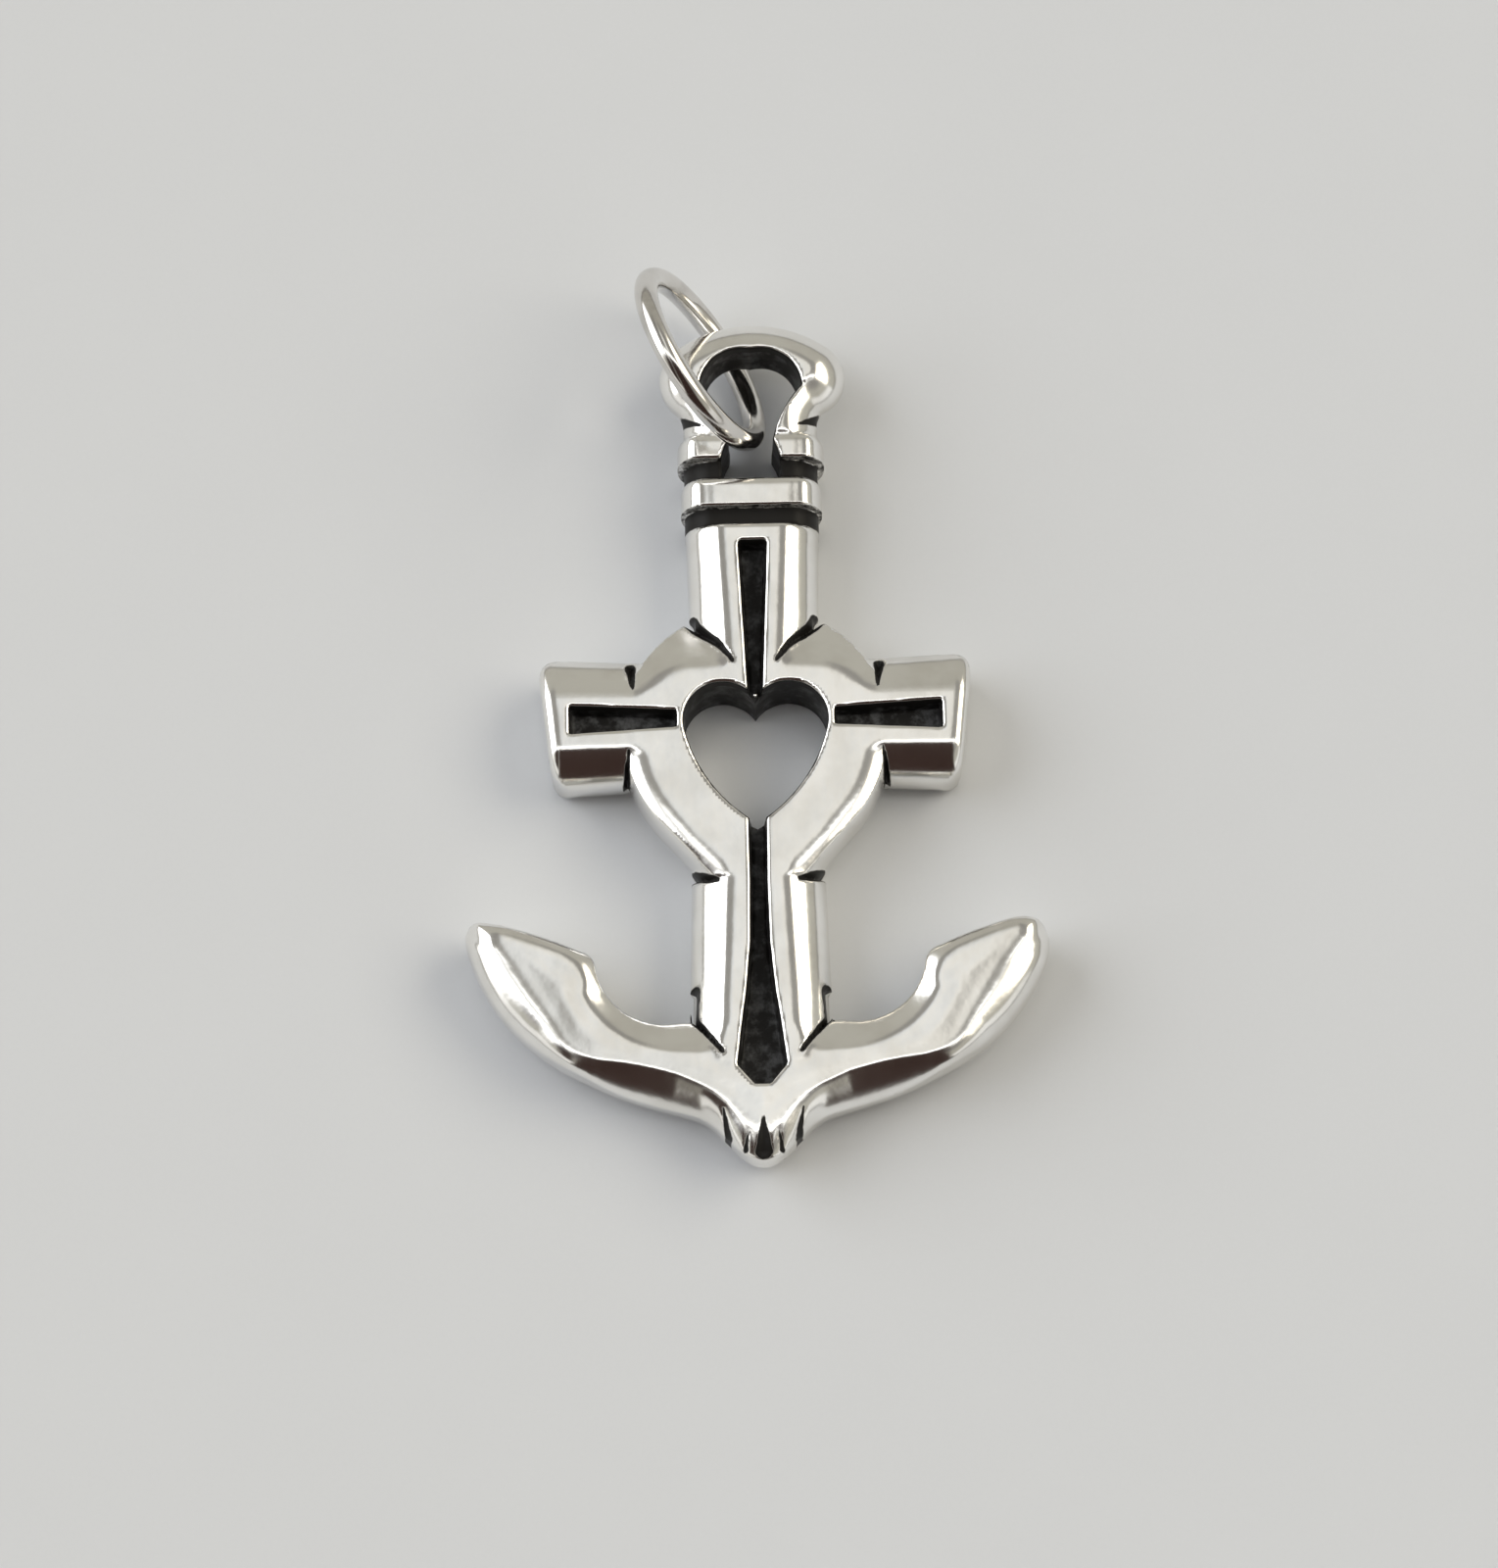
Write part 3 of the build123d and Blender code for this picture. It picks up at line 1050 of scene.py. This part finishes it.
    def _arms(self, x: Array, y: Array, z: Array) -> Array:
        """Work out both arms, whose shoulder fills the width between flat and outline.

        Args:
            x: Places across the pendant.
            y: Places along it.
            z: Heights.

        Returns:
            Depth in the arms' metal: negative outside.
        """
        across, sunk = np.abs(x), self.thickness - z
        outside = softer_least(self.arm_outside.depth(across, y),
                               self.arm_outside.depth(np.maximum(-across, -self.crown_half), y),
                               self.crown_round)
        hollow = self.arm_inside.depth(across, y)
        tip = self.tip_round + self.tip_worn * eased(x, *self.tip_worn_span)
        inside = softer_least(outside, hollow, tip)
        flat = self.arm_flat.depth(across, y)
        width = np.maximum(inside - flat, self.least_shoulder)
        crown, fluke = eased(across, *self.crown_span), eased(across, *self.fluke_span)
        gentle, steep, domed = self.arm_steepness
        steepness = gentle + (steep - gentle) * eased(hollow - outside, *self.arm_turn_span)
        steepness = steepness + (domed - steepness) * crown
        fullness = self.arm_roll.fullness + (2 - self.arm_roll.fullness) * (crown + fluke)
        edge = self.arm_roll.depth(inside, sunk, width, steepness, fullness)
        worn = self.arm_worn * (1 - eased(flat, *self.arm_worn_span)) + TINY
        return np.minimum(softer_least(edge, sunk, worn), self.belly.depth(inside, z))

    def _loop(self, x: Array, y: Array, z: Array) -> Array:
        """Depth in the loop and its neck, before the hole."""
        inside = np.minimum(self.loop.depth(x, y), y - self.upper_collar.foot)
        return np.minimum(self.loop_roll.depth(inside, self.thickness - z),
                          self.loop_belly.depth(inside, z - self.loop_under))

    def _cuts(self, x: Array, y: Array, z: Array) -> Array:
        """Work out what is cut away: heart, hole, slot and wedges.

        Args:
            x: Places across the pendant.
            y: Places along it.
            z: Heights.

        Returns:
            Depth in the cuts: negative in what stays.
        """
        sunk = self.thickness - z
        hole = np.minimum(self.hole.depth(x, y), y - self.slot_foot)
        steep = math.tan(math.radians(self.hole_draft)) * eased(y, *self.slot_span)
        cut = np.maximum(self.heart.depth(x, y), hole - np.maximum(sunk, 0.0) * steep)
        draft = np.maximum(sunk, 0.0) * math.tan(math.radians(self.wedge_draft))
        for wedge, across in zip(self.wedges, (x, np.abs(x), x)):
            cut = np.maximum(cut, np.minimum(wedge.depth(across, y) - draft, self.engraving - sunk))
        return cut

    def patina_and_shade_room(self, x: Array, y: Array, z: Array) -> Array:
        """Distance from the nearest blackened place, patina or the painted shade of a crease;
        negative on it.

        Args:
            x: Places across the pendant.
            y: Places along it.
            z: Heights.

        Returns:
            The distance, with walls counted by how deep they lie.
        """
        sunk = self.thickness - z
        lower = eased(-y, *self.heart_lower_span)
        below = self.heart_line_below - self.heart_line + eased(sunk, *self.bare_wall_span)
        plan = -self.heart.depth(x, y) + self.heart_line + lower * below
        plan = np.minimum(plan, -np.minimum(self.hole.depth(x, y), y - self.slot_foot))
        for wedge, across in zip(self.wedges, (x, np.abs(x), x)):
            plan = np.minimum(plan, -wedge.depth(across, y))
        room = plan - sunk * np.clip(1 - plan / self.wall_reach, 0.0, 1.0)
        for middle in self.grooves:
            room = np.minimum(room, np.abs(y - middle) - self.groove_length / 2)
        # Painted shade: the creases are blackened, as patina and as the shade in the corners.
        start, end = self.crease_black_span
        fade = (1 - np.clip((z - start) / (end - start), 0.0, 1.0)) * self.crease_fade
        for crease in self.creases:
            room = np.minimum(room, crease.room(x, y) + crease.worn + fade)
        return np.clip(room, -self.room_most, self.room_most)

    def build(self) -> bpy.types.Object:
        """Cast the mesh, set it where the frame has the casting, and mark its patina and painted
        shade.

        Returns:
            The piece.
        """
        low = (-self.cast_side, self.cast_foot, -self.margin)
        high = (self.cast_side, self.loop_top + self.margin, self.thickness + self.margin)
        vertices, quads = Caster(self.depth, low, high, self.cell).cast()
        vertices[:, 2] = np.maximum(vertices[:, 2], 0.0)
        room = self.patina_and_shade_room(*vertices.T)
        lowest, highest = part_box("anchor")
        datum = Vector(((lowest.x + highest.x) / 2, highest.y - self.loop_top * MM, lowest.z))
        piece = mesh_object("anchor_casting", vertices * MM + np.array(datum), quads)
        attribute = piece.data.attributes.new(PATINA_AND_SHADE_ROOM, "FLOAT", "POINT")
        attribute.data.foreach_set("value", room.astype(np.float32))
        log.info("anchor_casting: %d quads", len(quads))
        return piece


@dataclass
class JumpRing:
    """The closed ring of round wire, standing in the loop and leaning to the left."""

    wire: float = 0.796
    outer: float = 7.196
    heading: float = -66.0
    tilt: float = 25.2
    steps_round: int = 160
    steps_wire: int = 32

    def build(self) -> bpy.types.Object:
        """Make the ring in the middle of its node.

        Returns:
            The piece.
        """
        lowest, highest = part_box("jump_ring")
        middle = (lowest + highest) / 2
        along = Vector((math.cos(math.radians(self.heading)),
                        math.sin(math.radians(self.heading)), 0.0))
        aside = Vector((-along.y, along.x, 0.0))
        lean = math.radians(self.tilt)
        rise = Vector((0.0, 0.0, math.cos(lean))) - aside * math.sin(lean)
        axis = along.cross(rise)
        radius, thin = (self.outer - self.wire) / 2 * MM, self.wire / 2 * MM
        turn = np.linspace(0, 2 * math.pi, self.steps_round, endpoint=False)[:, None, None]
        spin = np.linspace(0, 2 * math.pi, self.steps_wire, endpoint=False)[None, :, None]
        outward = np.cos(turn) * np.array(along) + np.sin(turn) * np.array(rise)
        places = (np.array(middle) + outward * (radius + thin * np.cos(spin))
                  + np.array(axis) * thin * np.sin(spin))
        row = np.arange(self.steps_round)[:, None] * self.steps_wire
        column = np.arange(self.steps_wire)[None, :]
        next_row = (row + self.steps_wire) % (self.steps_round * self.steps_wire)
        next_column = (column + 1) % self.steps_wire
        faces = np.stack([row + column, next_row + column, next_row + next_column,
                          row + next_column], axis=-1).reshape(-1, 4)
        log.info("jump_ring_wire: %d quads", len(faces))
        return mesh_object("jump_ring_wire", places.reshape(-1, 3), faces)


@dataclass
class Studio:
    """Camera, light and the sheet under the pendant."""

    target: Colour = (-0.267, -2.002, 0.0)
    elevation: float = 73.0
    distance: float = 160.0
    roll: float = 1.1
    focal_pixels: float = 4800.0
    sensor: float = 36.0
    sheet_size: float = 3.0
    sheet_drop: float = 0.02

    ceiling_left: Colour = (0.82, 0.835, 0.835)
    ceiling_right: Colour = (0.95, 0.92, 0.85)
    wall: Colour = (0.44, 0.425, 0.375)
    side_wall: Colour = (0.28, 0.27, 0.25)
    overhead: Colour = (2.35, 2.35, 2.3)
    beside_front: Colour = (0.85, 0.84, 0.81)
    dark_front: Colour = (0.04, 0.024, 0.02)
    table_edge: Colour = (0.14, 0.13, 0.12)
    table_share: float = 0.7
    spread_with_height: float = 0.27
    left_window: Colour = (2.65, 2.68, 2.71)
    right_window: Colour = (3.3, 3.07, 2.6)
    left_sill: float = 0.1
    right_sill: float = 0.4
    window_side: Point = (0.45, 0.54)
    window_front: Point = (-22.0, -9.0)
    window_back: Point = (42.0, 52.0)
    window_edge: float = 0.08

    def camera(self) -> None:
        """Set the camera at the viewing angle of the picture."""
        lens = self.focal_pixels / PHOTO_HEIGHT * self.sensor
        data = bpy.data.cameras.new("camera")
        data.sensor_fit = "VERTICAL"
        data.sensor_height = data.sensor_width = self.sensor
        data.lens = lens
        data.clip_start, data.clip_end = 0.001, 100.0
        lean, roll = math.radians(self.elevation), math.radians(self.roll)
        back = Vector((0.0, -math.cos(lean), math.sin(lean)))
        right = Vector((1.0, 0.0, 0.0))
        up = back.cross(right)
        turned_right = right * math.cos(roll) - up * math.sin(roll)
        turned_up = right * math.sin(roll) + up * math.cos(roll)
        place = Vector(self.target) * MM + back * self.distance * MM
        camera = bpy.data.objects.new("camera", data)
        camera.matrix_world = Matrix.Translation(place) @ Matrix(
            (turned_right, turned_up, back)).transposed().to_4x4()
        bpy.context.scene.collection.objects.link(camera)
        bpy.context.scene.camera = camera

    def sheet(self) -> None:
        """Lay the pale sheet."""
        half = self.sheet_size / 2
        corners = np.array([(-half, -half, 0), (half, -half, 0), (half, half, 0), (-half, half, 0)])
        floor = mesh_object("sheet", corners - np.array((0, 0, self.sheet_drop * MM)),
                            np.array([[0, 1, 2, 3]]))
        floor.data.materials.append(PaleSheet().make())

    def light(self) -> None:
        """Light the room: a pale ceiling, two tall windows and a dark side in front.

        The world's colour is worked out from the way that is looked in: x to the right, y ahead
        and z up. Each layer covers a part of the room, and its rises give where it begins.
        """
        world = bpy.data.worlds.new("room")
        bpy.context.scene.world = world
        bpy.context.scene.view_settings.view_transform = "Standard"
        world.use_nodes = True
        bench = Bench(world.node_tree)
        way = Signal(bench, bench.node("ShaderNodeTexCoord").outputs["Generated"])
        parts = bench.node("ShaderNodeSeparateXYZ", None, {0: way})
        x, y, z = (Signal(bench, parts.outputs[name]) for name in "XYZ")
        aside = abs(x)
        ahead = bench.maths("ARCTAN2", y, aside) * (180 / math.pi)
        near, spread = -1.0 * y, aside + z * self.spread_with_height
        ceiling = bench.blend(x.rise(-0.05, 0.06), self.ceiling_left, self.ceiling_right)
        aisle = aside.rise(0.07, 0.13) * z.rise(0.6, 0.75)
        above = near.rise(-0.12, 0.0) * z.rise(0.88, 0.95)
        beside = near.rise(0.2, 0.3) * spread.rise(0.55, 0.64) * (1.0 - z.rise(0.3, 0.4))
        front = near.rise(0.02, 0.12) * (1.0 - spread.rise(0.52, 0.63))
        patch = (near.rise(0.12, 0.22) * spread.rise(0.61, 0.65) * (1.0 - spread.rise(0.84, 0.92))
                 * z.rise(0.3, 0.4) * (1.0 - x.rise(-0.05, 0.05)))
        layers = (
            (z.rise(0.8, 0.93), ceiling),
            (aisle, self.side_wall),
            (above, self.overhead),
            (beside, self.beside_front),
            (front.most(patch) * z.rise(-0.05, 0.05), self.dark_front),
            (self.table_share * (1.0 - z.rise(0.03, 0.13)), self.table_edge),
            (self._window(-1.0 * x, ahead, z, self.left_sill), self.left_window),
            (self._window(x, ahead, z, self.right_sill), self.right_window))
        room = self.wall
        for share, colour in layers:
            room = bench.blend(share, room, colour)
        shader = bench.node("ShaderNodeBackground", None, {"Color": room, "Strength": 1.0})
        bench.node("ShaderNodeOutputWorld", None,
                   {"Surface": Signal(bench, shader.outputs["Background"])})

    def _window(self, outward: Signal, ahead: Signal, z: Signal, sill: float) -> Signal:
        """A tall window on one side: 1 inside it."""
        return (outward.rise(*self.window_side) * ahead.rise(*self.window_front)
                * (1.0 - ahead.rise(*self.window_back)) * z.rise(sill, sill + self.window_edge))


def dress(piece: bpy.types.Object, node: str, material: bpy.types.Material) -> None:
    """Give a piece its finish and hang it on the frame.

    Args:
        piece: The piece.
        node: The CAD node that it stands for.
        material: The finish.
    """
    piece.data.materials.append(material)
    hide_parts(node)
    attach(piece, BODY)
    log.info("%s replaces %s", piece.name, node)


def main() -> None:
    """Build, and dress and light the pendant."""
    logging.basicConfig(level=logging.INFO, format="%(name)s %(message)s")
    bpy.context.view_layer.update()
    dress(AnchorCasting().build(), "anchor", CastSilver().make())
    dress(JumpRing().build(), "jump_ring", WireSilver().make())
    studio = Studio()
    studio.camera()
    studio.sheet()
    studio.light()


if __name__ == "__main__":
    main()
